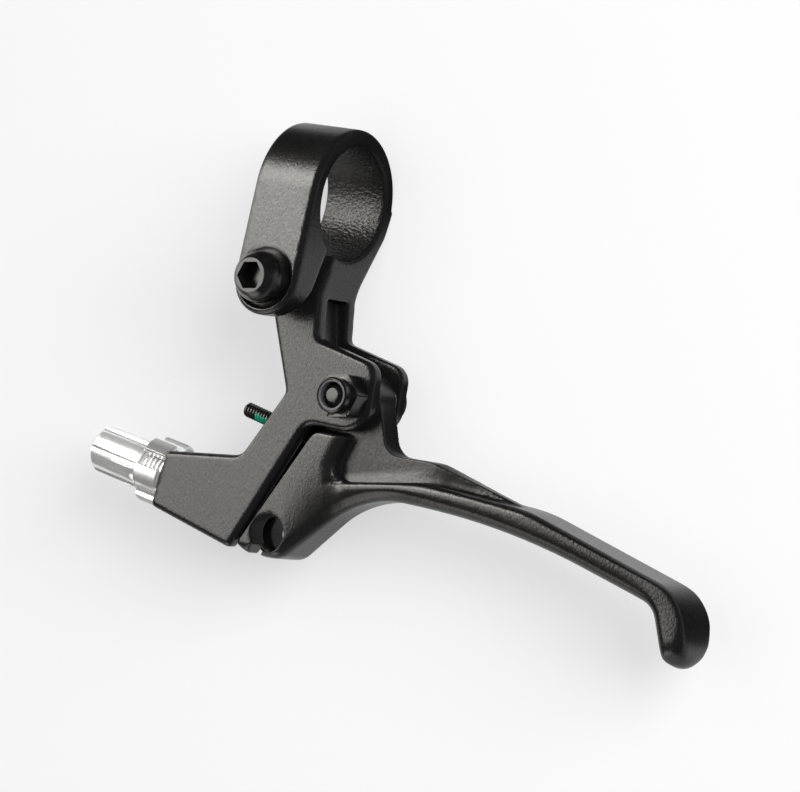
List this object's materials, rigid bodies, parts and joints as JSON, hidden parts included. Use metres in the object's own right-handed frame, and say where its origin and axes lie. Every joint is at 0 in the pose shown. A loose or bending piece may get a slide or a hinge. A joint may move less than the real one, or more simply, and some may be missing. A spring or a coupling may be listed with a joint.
{
  "type": "bicycle brake lever",
  "caption": "Black cast brake lever in a slit bar-clamp bracket, with a hooked finger blade, a reach-setting screw and a bright fluted cable adjuster with its lock nut.",
  "frame": {"origin": "centre of the bar clamp's bore, half way along it", "axes": "+X along the bar towards the lever's hooked tip, +Y from the lever's blade towards the bar, +Z along the pivot bolt towards the side with the lock nut and the clamp bolt's head"},
  "size_m": [0.1384, 0.0889, 0.0354],
  "materials": {
    "black_casting": "satin black paint over a fine cast grain",
    "black_steel": "black oxide, smooth",
    "bright_steel": "plain zinc",
    "dark_nylon": "matt",
    "bright_aluminium": "polished silver"
  },
  "bodies": {
    "bracket": {"bracket": "black_casting", "clamp_bolt": "black_steel", "pivot_bolt": "black_steel", "pivot_lock_nut": "black_steel", "pivot_nut_insert": "dark_nylon", "pivot_washer_near": "bright_steel", "pivot_washer_far": "bright_steel"},
    "lever": {"lever_blade": "black_casting", "pivot_bush": "dark_nylon"},
    "adjuster": {"adjuster_barrel": "bright_aluminium"},
    "lock_nut": {"adjuster_lock_nut": "bright_aluminium"},
    "reach_screw": {"reach_screw": "black_steel"}
  },
  "joints": [
    {"name": "lever_pivot", "type": "hinge", "parent": "bracket", "child": "lever", "pos_m": [0.0172, -0.0366, 0], "axis": [0, 0, 1], "range_deg": [0, 30]},
    {"name": "adjuster_travel", "type": "slide", "parent": "bracket", "child": "adjuster", "axis": [-0.9877, 0.1564, 0], "range_m": [0, 0.005]},
    {"name": "lock_nut_turn", "type": "hinge", "parent": "bracket", "child": "lock_nut", "pos_m": [-0.0235, -0.0584, 0], "axis": [-0.9877, 0.1564, 0], "continuous": true},
    {"name": "reach_screw_turn", "type": "hinge", "parent": "bracket", "child": "reach_screw", "pos_m": [-0.0049, -0.0435, 0], "axis": [-0.9781, 0.2079, 0], "continuous": true}
  ]
}
